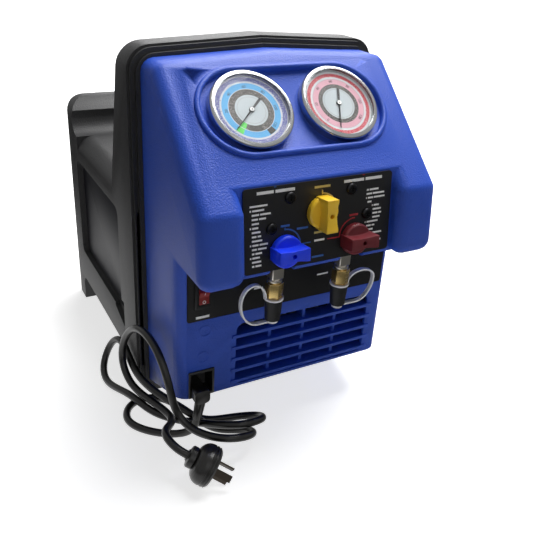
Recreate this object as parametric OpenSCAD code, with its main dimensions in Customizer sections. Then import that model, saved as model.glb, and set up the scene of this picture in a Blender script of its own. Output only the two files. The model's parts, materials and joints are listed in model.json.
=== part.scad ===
// Portable refrigerant recovery machine, in millimetres.
// +Z is up, the control side faces -Y, and the origin is under the middle of the machine.

/* [Overall] */
// Width over the two half shells
machine_w = 250; // [240:1:270]
// Depth from the hood's lower front edge to the rear wall
machine_d = 394; // [388:1:420]
// Height of the front frame
machine_h = 362; // [358:1:375]

/* [Shells] */
// Wall of the moulded shells and fascia
shell_wall = 3.5; // [2.5:0.1:4]
// Corner radius of the front frame
frame_r = 22; // [18:1:28]
// Drop of the front frame's top from its middle to its corners
roof_drop = 5.2; // [1:0.1:6]
// Depth of the front frame at its top
frame_d = 31; // [26:1:40]
// Extra depth of the front frame where it meets the saddle
frame_flare = 37; // [25:1:45]
// Height and setback of each step of the frame's bead
bead_step = 4; // [2:0.5:5]
// Width of the flange that the fascia butts on
flange_w = 14.5; // [12.5:0.5:16]
// Level of the saddle behind the frame
saddle_z = 222; // [214:1:228]
// Radius of the shoulders beside the saddle
shoulder_r = 20; // [14:1:24]
// Level of the rear wall's top
rear_top_z = 260; // [254:1:268]
// Thickness of the rear frame, front to back
rear_frame_d = 29; // [25:1:36]
// Underside of the shells between the feet
belly_z = 34; // [28:1:38]
// Radius of the rear wall's upright corners
rear_r = 10; // [6:1:16]
// Length of the rear feet along the side
rear_foot_d = 23; // [18:1:30]
// Depth of the recess in each side wall
side_recess = 7; // [4:0.5:9]
// Height of the recess in each side wall
side_recess_h = 120; // [100:1:124]

/* [Carry handle] */
// Width of the handle's bar
handle_w = 30; // [24:1:36]
// Thickness of the handle's bar
handle_t = 24; // [20:1:26]
// Height of the handle's axis at the front frame
handle_front_z = 316; // [308:1:322]

/* [Fascia] */
// Setback of the frame's face from the hood's front
hood_reach = 134.2; // [130:0.2:140]
// Setback of the lower face from the hood's front
face_setback = 54.5; // [50:0.5:58]
// Gap of the fascia's side from the frame's side
fascia_inset = 10; // [8:0.5:12]
// Drop of the fascia's top below the frame's top
hood_drop = 9.3; // [8:0.1:11]
// Level of the hood's underside
hood_bottom_z = 189; // [186:1:192]
// Slope of the gauge surface, in degrees
gauge_slope = 43.4; // [42:0.1:45]
// Lean of the hood's front and the control panel, in degrees
front_lean = 6.6; // [5:0.1:8]
// Radius of the cheeks' edges
cheek_r = 11; // [9:0.5:13]
// Radius of the lower face's upright edges
face_r = 14; // [10:1:18]
// Level of the lower face's bottom edge
face_bottom_z = 49; // [46:1:50]
// Level of the fascia's bottom edge at the frame
chin_z = 21; // [18:1:26]

/* [Grille] */
// Left end of the grille opening
grille_x0 = -56; // [-64:1:-52]
// Right end of the grille opening
grille_x1 = 93; // [85:1:95]
// Top of the grille opening
grille_top_z = 120; // [116:1:124]
// Bottom of the grille opening
grille_bottom_z = 51.5; // [51:0.1:53]
// Number of slats across the opening
slat_count = 5; // [4:1:6]
// Thickness of a slat
slat_t = 3.2; // [2.5:0.1:4]
// Depth of a slat, front to back
slat_d = 15; // [10:1:20]
// Number of upright ribs behind the slats
rib_count = 3; // [2:1:4]

/* [Control panel] */
// Width of the control panel plate
panel_w = 145; // [140:1:147]
// Height of the control panel plate
panel_h = 72; // [70:0.5:72.5]
// Thickness of the panel plates
plate_t = 1.5; // [1.2:0.1:2]
// Depth of the panel's face behind the hood's front
panel_recess = 13.6; // [12:0.1:15]
// Gap between the panel and the cheeks
panel_gap = 2; // [1:0.5:3]
// Level of the panel's bottom edge
panel_bottom_z = 194.5; // [193:0.5:196]
// Height of the port valves' axes on the panel
port_knob_v = 16; // [15:0.5:20]
// Height of the mode valve's axis on the panel
mode_knob_v = 44.8; // [42:0.2:48]
// Distance of the port valves from the middle
port_x = 34.6; // [32:0.2:36]

/* [Knobs] */
// Radius of a knob's round skirt
knob_r = 14; // [12:0.5:15]
// Thickness of a knob's skirt
knob_skirt_t = 6.5; // [5:0.5:8]
// Height of a knob's bar above the panel
knob_h = 18.5; // [16:0.5:22]
// Width of a knob's bar at its ends
knob_bar_w = 11; // [9:0.5:13]
// Radius of a valve stem
stem_r = 3; // [2.5:0.1:3.5]

/* [Gauges] */
// Distance of the gauges from the middle
gauge_x = 42.7; // [40:0.1:44]
// Radius of a gauge's bezel
bezel_r = 37; // [35:0.5:38]
// Radius of a gauge's case
gauge_case_r = 34; // [33:0.2:34.4]
// Depth of a gauge's case behind the slope
gauge_case_d = 20; // [16:1:26]
// Radius of the stadium recess's ends
recess_r = 38.6; // [38.2:0.1:41]
// Distance of the stadium recess's end centres from the middle
recess_half = 48; // [45:0.5:50]
// Depth of the stadium recess
recess_d = 3; // [2:0.5:4]
// Length of the pointers
pointer_len = 25.5; // [22:0.5:28]

/* [Ports] */
// Distance of the ports behind the panel's bottom edge
port_back = 14.5; // [13:0.5:17]
// Level of the brass nuts' lower end
nut_bottom_z = 160; // [158:0.5:163]
// Height of the brass nuts
nut_h = 14.5; // [12:0.5:16]
// Width of the brass nuts across flats
nut_af = 14; // [12:0.5:16]
// Radius of the flare thread
flare_r = 5.5; // [5:0.1:6]
// Length of the flare thread
flare_l = 17; // [14:0.5:18]
// Length of the caps
cap_l = 21; // [19:0.5:24]
// Radius of the caps at the open end
cap_r = 8.2; // [7.8:0.1:9]
// Reach of the inlet cap's strap from the port's axis
inlet_strap_reach = 32.5; // [26:0.5:36]
// Rise of the inlet cap's strap above its ring
inlet_strap_rise = 16.5; // [8:0.5:18]
// Reach of the outlet cap's strap from the port's axis
outlet_strap_reach = 38; // [26:0.5:40]
// Rise of the outlet cap's strap above its ring
outlet_strap_rise = 10; // [8:0.5:18]

/* [Electrics] */
// Width of the connection strip
strip_w = 210; // [200:1:214]
// Level of the connection strip's bottom edge
strip_bottom_z = 133; // [130:1:136]
// Rocker switch, distance left of the middle
switch_x = 89.7; // [86:0.1:92]
// Rocker switch, level of its pivot
switch_z = 158; // [154:1:162]
// Width of the rocker
rocker_w = 9.6; // [8:0.2:11]
// Radius of the rocker about its pivot
rocker_r = 9; // [8:0.2:10]
// Tilt of the rocker each way from level, in degrees
rocker_tilt = 11; // [8:1:12]
// Mains inlet, distance left of the middle
inlet_x = 91; // [88:0.5:91.5]
// Mains inlet, level of its middle
inlet_z = 64.5; // [63.5:0.5:66]
// Width of the mains inlet
inlet_w = 24; // [23:0.5:25]
// Height of the mains inlet
inlet_h = 27; // [25:0.5:27.5]
// Diameter of the mains cord
cord_d = 7.5; // [6:0.5:8]

/* [Inside] */
// Radius of the cooling fan
fan_r = 60; // [50:1:64]
// Number of fan blades
blade_count = 5; // [4:1:7]
// Radius of the motor
motor_r = 44; // [38:1:48]
// Length of the motor
motor_l = 84; // [70:1:90]
// Radius of the fan shaft
shaft_r = 4; // [3:0.5:5]
// Width of the condenser
condenser_w = 190; // [170:1:200]
// Height of the condenser
condenser_h = 148; // [135:1:155]

/* [Hidden] */
$fn = 48;

// Clearances: loose for assembly, running for shafts, and an overshoot for cuts
gap = 0.3;
run = 0.05;
eps = 1;

// Main planes
front_y = -machine_d / 2;
rear_y = machine_d / 2;
half_w = machine_w / 2;
rim_y = front_y + hood_reach;
face_y = front_y + face_setback;
frame_back_y = rim_y + frame_d;
saddle_y = frame_back_y + frame_flare;
rear_face_y = rear_y - rear_frame_d;
floor_z = belly_z + shell_wall;
fascia_half = half_w - fascia_inset;
hood_top_z = machine_h - hood_drop;

// Slope of the gauge surface and lean of the front
slope_m = tan(gauge_slope);
lean_m = tan(front_lean);
gauge_y = front_y + 70.6;
gauge_z = machine_h - 48.3;
seat_d = panel_recess + plate_t;
hood_y = front_y - cheek_r * (lean_m + 1 / cos(front_lean) - 1);
function front_at(setback, z) = hood_y + setback / cos(front_lean) + (z - hood_bottom_z) * lean_m;
function brow_z(setback) = (gauge_z + slope_m * (front_at(setback, 0) - gauge_y)) / (1 - slope_m * lean_m);
function slope_y(z) = gauge_y + (z - gauge_z) / slope_m;
panel_y = front_at(panel_recess, panel_bottom_z);
port_y = panel_y + port_back;
inner_x = panel_w / 2 + panel_gap;

// Outline helpers: arcs, rounded rectangles, stadiums and rounded corners
function arc(c, r, a0, a1, n = 8) =
    [for (i = [0:n]) c + r * [cos(a0 + (a1 - a0) * i / n), sin(a0 + (a1 - a0) * i / n)]];
function round_box(x0, y0, x1, y1, r, n = 6) = concat(
    arc([x1 - r, y1 - r], r, 0, 90, n), arc([x0 + r, y1 - r], r, 90, 180, n),
    arc([x0 + r, y0 + r], r, 180, 270, n), arc([x1 - r, y0 + r], r, 270, 360, n));
function stadium(half, r, n = 20) =
    concat(arc([half, 0], r, -90, 90, n), arc([-half, 0], r, 90, 270, n));
function unit(v) = v / norm(v);
function turned(v) = [-v[1], v[0]];
function corner_centre(before, at, after, r) =
    let (n1 = turned(unit(at - before)), n2 = turned(unit(after - at)))
    at + (n1 + n2) * r / (1 + n1 * n2);

// Extrusions: a (y, z) outline along X, and an (x, z) outline along Y
module along_x(width) {
    rotate([90, 0, 90]) linear_extrude(width, center = true) children();
}
module along_y(y0, y1) {
    translate([0, y1, 0]) rotate([90, 0, 0]) linear_extrude(y1 - y0) children();
}

// Local frames: u to the right, v up the surface, w out of it
module on_panel(u, v, w = 0) {
    translate([0, panel_y, panel_bottom_z]) rotate([90 - front_lean, 0, 0])
        translate([u, v, w]) children();
}
module on_slope(u, w = 0) {
    translate([0, gauge_y, gauge_z]) rotate([gauge_slope, 0, 0]) translate([u, 0, w]) children();
}
module on_face(x, z, w = 0) {
    translate([x, face_y, z]) rotate([90, 0, 0]) translate([0, 0, w]) children();
}

// Shells: a front frame and a tub with a saddle, split down the middle
foot_front_d = 38;
arch_r = 24;
rear_foot_y = rear_y - 33;
recess_y0 = -7;
recess_y1 = rear_y - 40;
recess_top_z = saddle_z - 29;
label_r = 9;

// The frame's top rises to the middle like a low roof
function frame_outline(inset) =
    let (r = frame_r - inset * 0.6, x = half_w - inset - r, top = machine_h - roof_drop - inset - r)
    concat(arc([x, top], r, 0, 90), [[0, machine_h - inset]], arc([-x, top], r, 90, 180),
        arc([-x, inset + r], r, 180, 270), arc([x, inset + r], r, 270, 360));

module front_frame() {
    along_y(rim_y, rim_y + bead_step) polygon(frame_outline(1.5 * bead_step));
    along_y(rim_y + bead_step, rim_y + 2 * bead_step) polygon(frame_outline(bead_step / 2));
    along_y(rim_y + 2 * bead_step, saddle_y) polygon(frame_outline(0));
}

module rear_tub() {
    along_y(frame_back_y - eps, rear_y)
        polygon(concat(arc([half_w - frame_r, rear_top_z - frame_r], frame_r, 0, 90),
            arc([-half_w + frame_r, rear_top_z - frame_r], frame_r, 90, 180),
            [[-half_w, belly_z], [half_w, belly_z]]));
    translate([-half_w, rear_foot_y - arch_r / 2, 0])
        cube([machine_w, rear_foot_d + arch_r / 2, belly_z + eps]);
}

function saddle_outline() = concat(
    [[frame_back_y, machine_h + eps],
     [saddle_y + frame_flare * (shoulder_r + eps) / (machine_h - saddle_z), saddle_z - shoulder_r - eps]],
    [[rear_face_y - shoulder_r, saddle_z - shoulder_r - eps]],
    arc([rear_face_y - shoulder_r, saddle_z + shoulder_r], shoulder_r, -90, 0),
    [[rear_face_y, rear_top_z - 13], [rear_face_y + 16, rear_top_z], [rear_face_y + 16, machine_h + eps]]);

module saddle_space() {
    intersection() {
        along_x(machine_w + 4) polygon(saddle_outline());
        along_y(frame_back_y - eps, rear_y + eps)
            polygon(concat(arc([half_w - shoulder_r, saddle_z - shoulder_r], shoulder_r, 0, 90),
                arc([-half_w + shoulder_r, saddle_z - shoulder_r], shoulder_r, 90, 180),
                [[-half_w - 3, saddle_z - shoulder_r], [-half_w - 3, machine_h + 2],
                 [half_w + 3, machine_h + 2], [half_w + 3, saddle_z - shoulder_r]]));
    }
}

module belly_arch() {
    arch_y0 = rim_y + foot_front_d;
    along_x(machine_w + 4)
        polygon(concat([[arch_y0, -eps], [rear_foot_y, -eps]],
            arc([rear_foot_y - arch_r / 2, belly_z - arch_r / 2], arch_r / 2, 0, 90),
            arc([arch_y0 + arch_r, belly_z - arch_r], arch_r, 90, 180)));
}

module rear_corner_cuts() {
    for (side = [-1, 1])
        translate([side * half_w, rear_y, -eps]) linear_extrude(machine_h + 2 * eps)
            difference() {
                square(2 * rear_r, center = true);
                translate([-side * rear_r, -rear_r]) circle(rear_r);
                translate([-side * 2 * rear_r, -rear_r]) square(2 * rear_r, center = true);
            }
}

// Recess in each side wall, with a slanted finger slot at its lower front corner
module side_pocket(grow) {
    low_z = recess_top_z - side_recess_h;
    for (side = [-1, 1])
        translate([side * half_w, 0, 0]) {
            along_x(2 * (side_recess + grow))
                polygon(round_box(recess_y0 - grow, low_z - grow,
                    recess_y1 + grow, recess_top_z + grow, label_r));
            along_x(2 * (side_recess - 2 + grow))
                polygon([[recess_y0 - 8 - grow, low_z - 14 - grow], [recess_y0 + 25 + grow, low_z - 4 - grow],
                    [recess_y0 + 25 + grow, low_z + 12], [recess_y0 - 8 - grow, low_z + 17 + grow]]);
        }
}

module shell_cavity() {
    inner_r = shoulder_r - shell_wall;
    inner_half = half_w - shell_wall;
    slant = frame_flare / (machine_h - saddle_z);
    difference() {
        union() {
            along_y(rim_y + bead_step, rear_y - shell_wall)
                polygon(concat(arc([half_w - shoulder_r, saddle_z - shoulder_r], inner_r, 0, 90),
                    arc([-half_w + shoulder_r, saddle_z - shoulder_r], inner_r, 90, 180),
                    [[-inner_half, floor_z], [inner_half, floor_z]]));
            intersection() {
                along_x(machine_w)
                    polygon([[rim_y + bead_step, floor_z + eps], [rim_y + bead_step, machine_h],
                        [frame_back_y - shell_wall, machine_h],
                        [saddle_y - shell_wall + slant * shoulder_r, saddle_z - shoulder_r],
                        [saddle_y - shell_wall + slant * shoulder_r, floor_z + eps]]);
                along_y(rim_y, rear_y) polygon(frame_outline(1.5 * bead_step + shell_wall));
            }
            along_y(rim_y - eps, rim_y + bead_step + eps)
                polygon(round_box(-half_w + flange_w, floor_z, half_w - flange_w,
                    hood_top_z - roof_drop - shell_wall - 1, frame_r / 2));
        }
        side_pocket(shell_wall);
    }
}

module whole_shell() {
    difference() {
        union() {
            front_frame();
            rear_tub();
        }
        saddle_space();
        belly_arch();
        rear_corner_cuts();
        shell_cavity();
        side_pocket(0);
        rear_vents();
    }
}

// Vent slots through the rear wall
vent_count = 6;
vent_w = 60;
vent_h = 5;
vent_pitch = 13;
module rear_vents() {
    for (side = [-1, 1], i = [0:vent_count - 1])
        translate([side * (vent_w / 2 + 14), 0, 90 + i * vent_pitch])
            along_y(rear_y - shell_wall - eps, rear_y + eps)
                polygon(round_box(-vent_w / 2, -vent_h / 2, vent_w / 2, vent_h / 2, vent_h / 2 - 0.1));
}

module half_space(side) {
    translate([side > 0 ? 0 : -machine_w, front_y, -eps])
        cube([machine_w, machine_d + eps, machine_h + 2 * eps]);
}

module left_shell() {
    color([0.11, 0.11, 0.12]) intersection() {
        whole_shell();
        half_space(-1);
    }
}

module right_shell() {
    color([0.11, 0.11, 0.12]) intersection() {
        whole_shell();
        half_space(1);
    }
}

// Carry handle: a rounded bar from the front frame to the rear frame, over the saddle
handle_r = 9;
handle_rear_z = rear_top_z - 8;
module carry_handle() {
    y0 = frame_back_y;
    z0 = handle_front_z;
    y1 = rear_face_y + 8;
    fall = atan2(z0 - handle_rear_z, y1 - y0);
    reach = (y1 - y0) / cos(fall);
    color([0.1, 0.1, 0.11]) intersection() {
        translate([0, y0, z0]) rotate([-fall, 0, 0])
            along_y(-reach * 0.2, reach * 1.2)
                polygon(round_box(-handle_w / 2, -handle_t / 2, handle_w / 2, handle_t / 2, handle_r, 8));
        along_x(handle_w + 4) polygon(saddle_outline());
        translate([0, 0, (handle_rear_z + z0) / 2])
            cube([handle_w + 2, 2 * machine_d, z0 - handle_rear_z + 2 * handle_t], center = true);
        translate([0, rear_face_y + 16 - machine_d, machine_h / 2])
            cube([handle_w + 2, 2 * machine_d, 2 * machine_h], center = true);
    }
}

// Fascia: a hood with two cheeks over a lower face, open at the back.
// Each form takes a skin: 0 for the outside, the wall for the inside.
soft_fn = 20;
seat_r = 5;
lip_r = 4.5;

// The hood's top falls from the middle to the sides with the frame's
function roof_z(x) = hood_top_z - roof_drop * abs(x) / (half_w - frame_r);

function hood_corners(setback, top) = [
    [rim_y, hood_bottom_z],
    [front_at(setback, hood_bottom_z), hood_bottom_z],
    [front_at(setback, brow_z(setback)), brow_z(setback)],
    [slope_y(top), top],
    [rim_y, top]];

function hood_centre(setback, i, r, top) =
    let (c = hood_corners(setback, top)) corner_centre(c[i + 1], c[i], c[i - 1], r);

function hood_profile(setback, radii, skin, top) =
    let (turns = [270, 180 - front_lean, 90 + gauge_slope, 90])
    concat([[rim_y + eps, hood_bottom_z + skin]],
        [for (i = [1, 2, 3]) each arc(hood_centre(setback, i, radii[i], top),
            max(radii[i] - skin, 0.01), turns[i - 1], turns[i], 4)],
        [[rim_y + eps, top - skin]]);

// A cheek is a stack of thin slices: each one nearer to its side is set in along the round
module hood_cheek(side, skin) {
    steps = 4;
    r = cheek_r - skin;
    radii = [0, cheek_r, cheek_r, cheek_r];
    hull() {
        for (k = [0:steps], edge = [inner_x + cheek_r, fascia_half - cheek_r]) {
            phi = 90 * k / steps;
            way = edge > (inner_x + fascia_half) / 2 ? 1 : -1;
            x = edge + way * r * sin(phi);
            translate([side * x, 0, 0])
                along_x(0.02) polygon(hood_profile(0, radii, cheek_r - r * cos(phi), roof_z(x)));
        }
    }
}

module hood_middle(skin) {
    reach = inner_x + 1.65 * cheek_r;
    hull() {
        for (x = [-reach, 0, reach])
            translate([x, 0, 0]) along_x(0.02)
                polygon(hood_profile(seat_d, [0, lip_r, seat_r, cheek_r], skin, roof_z(x) - 0.15));
    }
}

module lower_body(skin) {
    top_z = hood_bottom_z + cheek_r;
    hull() {
        for (side = [-1, 1]) {
            translate([side * (fascia_half - face_r), face_y + face_r, face_bottom_z + skin])
                cylinder(top_z - face_bottom_z - skin, r = face_r - skin, $fn = soft_fn);
            translate([side * (fascia_half - skin - eps / 2) - eps / 2, rim_y, chin_z + skin])
                cube([eps, eps, top_z - chin_z - skin]);
        }
    }
}

bead_r = 2.7;
module gauge_surround() {
    bead_at = recess_r + bead_r - 0.4;
    on_slope(0, -recess_d - shell_wall)
        linear_extrude(shell_wall + recess_d - 0.5) polygon(stadium(recess_half, bead_at));
    on_slope(0, 0.3)
        for (side = [-1, 1]) {
            translate([side * recess_half, 0, 0]) rotate([0, 0, -side * 90])
                rotate_extrude(angle = 180, $fn = 40) translate([bead_at, 0]) circle(bead_r, $fn = 10);
            along_x(2 * recess_half) translate([side * bead_at, 0]) circle(bead_r, $fn = 10);
        }
}

module gauge_cuts() {
    on_slope(0, -recess_d) linear_extrude(recess_d + 2 * bead_r) polygon(stadium(recess_half, recess_r));
    for (side = [-1, 1])
        on_slope(side * gauge_x, -recess_d - shell_wall - eps)
            cylinder(recess_d + shell_wall + 2 * eps, r = gauge_case_r + gap, $fn = 40);
}

slat_pitch = (grille_top_z - grille_bottom_z) / (slat_count + 0.37);
slat_run = 4.5;
slat_proud = 1.6;
rib_t = 3;
rib_set = 3;
grille_r = 7;
module grille_bars() {
    w = grille_x1 - grille_x0;
    mid = (grille_x0 + grille_x1) / 2;
    for (i = [1:slat_count])
        translate([mid, face_y - slat_proud, grille_top_z - i * slat_pitch])
            translate([0, slat_d / 2, 0]) cube([w + 2 * slat_run, slat_d, slat_t], center = true);
    for (i = [1:rib_count])
        translate([grille_x0 + i * w / (rib_count + 1), face_y + rib_set, grille_bottom_z])
            translate([-rib_t / 2, 0, -eps / 2])
                cube([rib_t, slat_d - rib_set, grille_top_z - grille_bottom_z + eps]);
}

// The slats' run past the opening stands in shallow notches of the lower face
module grille_cut() {
    along_y(face_y - eps, face_y + shell_wall + eps)
        polygon(round_box(grille_x0, grille_bottom_z, grille_x1, grille_top_z, grille_r));
}

notch_x0 = 22.8;
notch_x1 = 47.6;
module lip_notches() {
    for (side = [-1, 1])
        translate([side * (notch_x0 + notch_x1) / 2 - (notch_x1 - notch_x0) / 2,
            front_y, hood_bottom_z - eps])
            cube([notch_x1 - notch_x0, port_y + 12 - front_y, panel_bottom_z - hood_bottom_z + eps]);
}

stem_hole = 5;
module panel_holes(r_screw, sides) {
    for (side = [-1, 1])
        on_panel(side * port_x, port_knob_v, -20) cylinder(40, r = stem_hole, $fn = sides);
    on_panel(0, mode_knob_v, -20) cylinder(40, r = stem_hole, $fn = sides);
    screw_places() translate([0, 0, -20]) cylinder(40, r = r_screw, $fn = sides);
}

screw_top_x = 30;
screw_top_v = 60.6;
screw_low_x = 47;
screw_low_v = 36.4;
module screw_places() {
    for (side = [-1, 1]) {
        on_panel(side * screw_top_x, screw_top_v) children();
        on_panel(side * screw_low_x, screw_low_v) children();
    }
}

screw_r = 1.5;
module strip_space(grow) {
    strip_top_z = hood_bottom_z - 2;
    along_y(face_y - eps, face_y + plate_t)
        polygon(round_box(-strip_w / 2 - grow, strip_bottom_z - grow, strip_w / 2 + grow,
            strip_top_z + grow, 2, 3));
}

module switch_hole(grow) {
    translate([-switch_x, face_y, switch_z])
        cube([rocker_w + 3.4 + 2 * grow, 60, 2 * rocker_r + 2.4 + 2 * grow], center = true);
}

module inlet_hole(grow) {
    translate([-inlet_x, face_y, inlet_z])
        cube([inlet_w + 2 * grow, 60, inlet_h + 2 * grow], center = true);
}

// Two low moulded rings between the strip and the mains inlet
face_ring_r = 6;
module face_rings() {
    for (at = [[-88, 121], [-89.5, 93]])
        on_face(at[0], at[1], -eps) difference() {
            cylinder(eps + 0.4, r = face_ring_r);
            translate([0, 0, -eps]) cylinder(3 * eps, r = face_ring_r - 1);
        }
}

module front_fascia() {
    color([0.06, 0.13, 0.55]) difference() {
        union() {
            difference() {
                union() {
                    hood_middle(0);
                    for (side = [-1, 1]) hood_cheek(side, 0);
                    lower_body(0);
                }
                hood_middle(shell_wall);
                for (side = [-1, 1]) hood_cheek(side, shell_wall);
                lower_body(shell_wall);
                grille_cut();
            }
            gauge_surround();
            grille_bars();
            face_rings();
        }
        gauge_cuts();
        lip_notches();
        panel_holes(screw_r + gap / 2, 16);
        strip_space(gap);
        switch_hole(gap);
        inlet_hole(gap);
        translate([-half_w, rim_y, 0]) cube([machine_w, 20, machine_h]);
    }
}

// Control panel plate and its screws
module control_panel() {
    color([0.08, 0.08, 0.08]) difference() {
        on_panel(0, 0, -plate_t) linear_extrude(plate_t)
            polygon(round_box(-panel_w / 2, 0, panel_w / 2, panel_h, 3, 4));
        panel_holes(screw_r + run, 48);
    }
}

screw_head_r = 5;
screw_head_t = 2.4;
screw_shank = 8;
module panel_screws() {
    color([0.05, 0.05, 0.05]) screw_places() {
        difference() {
            rotate_extrude()
                polygon(concat([[0, 0], [screw_head_r, 0], [screw_head_r, 0.6]],
                    arc([screw_head_r - 1.8, 0.6], 1.8, 0, 90, 4), [[0, screw_head_t]]));
            for (a = [0, 90])
                rotate([0, 0, a]) translate([0, 0, screw_head_t]) cube([5, 0.9, 2.4], center = true);
        }
        translate([0, 0, -screw_shank]) cylinder(screw_shank, r = screw_r);
    }
}

// Connection strip across the lower face
module connection_strip() {
    color([0.1, 0.1, 0.1]) difference() {
        strip_space(0);
        translate([0, face_y - 5, 0]) translate([-machine_w, -10, 0]) cube([2 * machine_w, 15, machine_h]);
        switch_hole(0);
    }
}

// Base plate that carries the inside
plate_front_y = rim_y + bead_step + 4;
plate_rear_y = rear_y - shell_wall - 4;
base_t = 2;
inside_z = floor_z + base_t;
module base_plate() {
    color([0.6, 0.6, 0.62]) translate([-half_w + 14, plate_front_y, floor_z])
        cube([machine_w - 28, plate_rear_y - plate_front_y, base_t]);
}

// Gauges: case, dial, pointer, lens and bezel stacked along the slope's normal
dial_t = 0.6;
dial_w = 0.5;
lens_t = 1;
lens_w = 3.9;
bezel_top = 5.6;
lens_r = bezel_r - 3.4;
pivot_r = 0.8;
pointer_w = 1.7;
pointer_t = 0.4;
low_rest = -132;
high_rest = -163;

module gauge_case(side) {
    color([0.2, 0.2, 0.2]) on_slope(side * gauge_x) {
        difference() {
            translate([0, 0, -gauge_case_d]) cylinder(gauge_case_d + dial_w, r = gauge_case_r);
            translate([0, 0, 2 - gauge_case_d]) cylinder(gauge_case_d, r = gauge_case_r - 2.5);
        }
        translate([0, 0, -gauge_case_d - 12]) cylinder(12, r = 5);
    }
}

module gauge_dial(side) {
    color([0.92, 0.92, 0.9]) on_slope(side * gauge_x, dial_w)
        difference() {
            cylinder(dial_t, r = lens_r - 0.4);
            translate([0, 0, -eps]) cylinder(dial_t + 2 * eps, r = pivot_r + run);
        }
}

module gauge_pointer(side, rest) {
    color([0.12, 0.12, 0.12]) on_slope(side * gauge_x) rotate([0, 0, -rest]) {
        translate([0, 0, pointer_w]) linear_extrude(pointer_t)
            polygon([[-0.25, pointer_len], [0.25, pointer_len], [0.7, 0], [1.1, -9], [1.1, -15],
                [-1.1, -15], [-1.1, -9], [-0.7, 0]]);
        translate([0, 0, pointer_w - 0.3]) cylinder(pointer_t + 0.7, r = 2.4);
        translate([0, 0, dial_w - 1.5]) cylinder(pointer_w - dial_w + 1.5, r = pivot_r);
    }
}

module gauge_lens(side) {
    color([0.85, 0.9, 0.95, 0.3]) on_slope(side * gauge_x, lens_w) cylinder(lens_t, r = lens_r - run);
}

module gauge_bezel(side) {
    inner = gauge_case_r + 0.1;
    color([0.75, 0.75, 0.75]) on_slope(side * gauge_x)
        rotate_extrude()
            polygon(concat([[inner, -recess_d], [bezel_r, -recess_d], [bezel_r, 3]],
                arc([bezel_r - 2.6, 3], 2.6, 0, 90, 6),
                [[lens_r - 0.7, bezel_top], [lens_r - 0.7, lens_w + lens_t + run],
                 [lens_r, lens_w + lens_t + run], [lens_r, lens_w - run],
                 [lens_r - 1.2, lens_w - run], [lens_r - 1.2, dial_w + dial_t + run],
                 [inner, dial_w + dial_t + run]]));
}

module low_gauge_case() { gauge_case(-1); }
module low_gauge_dial() { gauge_dial(-1); }
module low_gauge_pointer() { gauge_pointer(-1, low_rest); }
module low_gauge_lens() { gauge_lens(-1); }
module low_gauge_bezel() { gauge_bezel(-1); }
module high_gauge_case() { gauge_case(1); }
module high_gauge_dial() { gauge_dial(1); }
module high_gauge_pointer() { gauge_pointer(1, high_rest); }
module high_gauge_lens() { gauge_lens(1); }
module high_gauge_bezel() { gauge_bezel(1); }

// Valve manifold behind the panel, with a bore for each stem
manifold_w = -plate_t - shell_wall - gap;
manifold_d = 19;
manifold_half = port_x + 14;
stem_in = 12;
module valve_manifold() {
    color([0.7, 0.7, 0.72]) difference() {
        on_panel(0, 0, manifold_w - manifold_d) {
            linear_extrude(manifold_d)
                polygon(round_box(-manifold_half, 3, manifold_half, port_knob_v + 13, 4, 4));
            linear_extrude(manifold_d)
                polygon(round_box(-15, port_knob_v, 15, mode_knob_v + 13, 4, 4));
        }
        for (side = [-1, 1])
            on_panel(side * port_x, port_knob_v, manifold_w - stem_in)
                cylinder(stem_in + eps, r = stem_r + run);
        on_panel(0, mode_knob_v, manifold_w - stem_in) cylinder(stem_in + eps, r = stem_r + run);
    }
}

// Valve stems, knobs and knob screws
stem_top = 9;
knob_foot = 0.4;
knob_screw_r = 2;
knob_waist = 1;
module stem(u, v) {
    color([0.7, 0.7, 0.7]) on_panel(u, v, manifold_w - stem_in + gap)
        cylinder(stem_top - manifold_w + stem_in - gap, r = stem_r);
}

module knob(u, v, turn) {
    waist_r = 60;
    dish_r = 70;
    on_panel(u, v) rotate([0, 0, turn]) difference() {
        union() {
            translate([0, 0, knob_foot]) cylinder(knob_skirt_t - 1.4 - knob_foot, r = knob_r);
            translate([0, 0, knob_skirt_t - 1.4]) cylinder(1.4, r1 = knob_r, r2 = knob_r - 1.4);
            translate([0, 0, knob_foot]) linear_extrude(knob_h - knob_foot)
                difference() {
                    square([2 * knob_r, knob_bar_w], center = true);
                    for (side = [-1, 1])
                        translate([0, side * (knob_bar_w / 2 + waist_r - knob_waist)]) circle(waist_r);
                }
        }
        translate([0, 0, knob_h + dish_r - knob_waist]) rotate([90, 0, 0])
            cylinder(4 * knob_r, r = dish_r, center = true);
        translate([0, 0, -eps]) cylinder(stem_top + eps, r = stem_r);
        translate([0, 0, stem_top]) cylinder(knob_h, r = knob_screw_r);
    }
}

module knob_screw(u, v) {
    color([0.3, 0.3, 0.3]) on_panel(u, v, stem_top) difference() {
        cylinder(2.5, r = knob_screw_r - run);
        translate([0, 0, 2.5]) cube([5, 0.7, 1.6], center = true);
    }
}

module inlet_stem() { stem(-port_x, port_knob_v); }
module inlet_knob() { color([0.02, 0.12, 0.85]) knob(-port_x, port_knob_v, 0); }
module inlet_knob_screw() { knob_screw(-port_x, port_knob_v); }
module outlet_stem() { stem(port_x, port_knob_v); }
module outlet_knob() { color([0.42, 0.05, 0.1]) knob(port_x, port_knob_v, 0); }
module outlet_knob_screw() { knob_screw(port_x, port_knob_v); }
module mode_stem() { stem(0, mode_knob_v); }
module mode_knob() { color([0.9, 0.62, 0.02]) knob(0, mode_knob_v, 90); }
module mode_knob_screw() { knob_screw(0, mode_knob_v); }

// Ports: plated adapter, brass flare fitting, cap and strap, all on one upright axis
adapter_w = 11.5;
adapter_top_z = panel_bottom_z;
neck_r = 5;
collar_r = 6.6;
nut_top_z = nut_bottom_z + nut_h;
strap_t = 1.6;
strap_w = 4;
cap_top_z = nut_bottom_z - strap_t - 2 * gap;
cap_floor = 3;
cap_end_r = cap_r - 1.2;
nub_r = 2;
nub_l = 3;

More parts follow.
